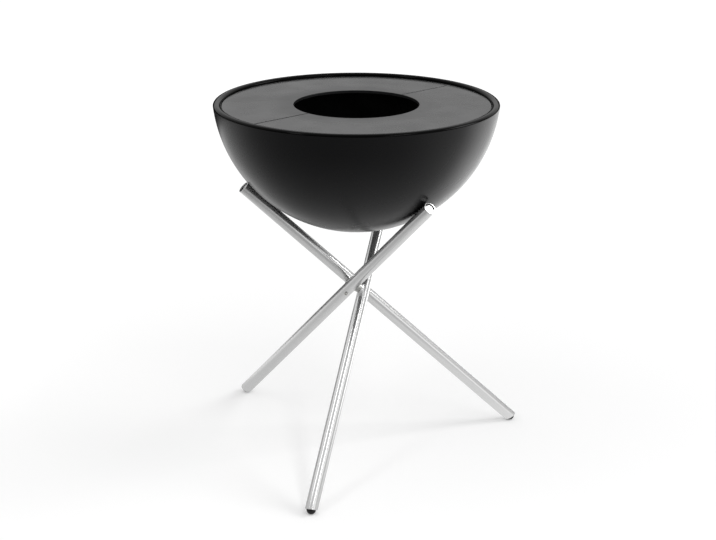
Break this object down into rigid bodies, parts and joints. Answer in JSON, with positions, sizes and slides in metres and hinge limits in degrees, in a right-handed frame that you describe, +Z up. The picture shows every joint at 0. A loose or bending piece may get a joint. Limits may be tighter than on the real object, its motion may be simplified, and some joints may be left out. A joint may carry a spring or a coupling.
{
  "type": "fire pit with plancha grill",
  "caption": "Round enamelled steel fire bowl with a ring-shaped plancha in loose halves, lying in a stand of crossed stainless tubes.",
  "frame": {"origin": "on the floor, under the middle of the bowl", "axes": "+Z up along the bowl's axis, +Y away from the side of the front leg, +X to the right as seen from the front leg's side"},
  "size_m": [0.6341, 0.6367, 0.7351],
  "materials": {
    "black_enamel": "gloss black enamel",
    "plancha_steel": "flat black plate, baked on, satin",
    "brushed_stainless": "ground along the tube",
    "stainless_disc": "satin",
    "stainless_fittings": "turned, bright",
    "black_rubber": "moulded, matt"
  },
  "bodies": {
    "stand": {"leg_left": "brushed_stainless", "foot_plug_left": "black_rubber", "end_seal_left": "black_rubber", "end_disc_left": "stainless_disc", "crossing_saddle_left": "stainless_fittings", "crossing_screw_left": "stainless_fittings", "crossing_insert_left": "stainless_fittings", "leg_front": "brushed_stainless", "foot_plug_front": "black_rubber", "end_seal_front": "black_rubber", "end_disc_front": "stainless_disc", "crossing_saddle_front": "stainless_fittings", "crossing_screw_front": "stainless_fittings", "crossing_insert_front": "stainless_fittings", "leg_right": "brushed_stainless", "foot_plug_right": "black_rubber", "end_seal_right": "black_rubber", "end_disc_right": "stainless_disc", "crossing_saddle_right": "stainless_fittings", "crossing_screw_right": "stainless_fittings", "crossing_insert_right": "stainless_fittings"},
    "bowl": {"bowl_shell": "black_enamel", "bowl_rim": "black_enamel", "plancha_seat": "black_enamel"},
    "plancha_front": {"plancha_front": "plancha_steel"},
    "plancha_back": {"plancha_back": "plancha_steel"}
  },
  "joints": [
    {"name": "bowl_tilt", "type": "hinge", "parent": "stand", "child": "bowl", "pos_m": [0, 0, 0.76111], "axis": [1, 0, 0], "range_deg": [-30, 30]},
    {"name": "plancha_front_lift", "type": "slide", "parent": "bowl", "child": "plancha_front", "axis": [0, 0, 1], "range_m": [0, 0.12]},
    {"name": "plancha_back_lift", "type": "slide", "parent": "bowl", "child": "plancha_back", "axis": [0, 0, 1], "range_m": [0, 0.12]}
  ]
}
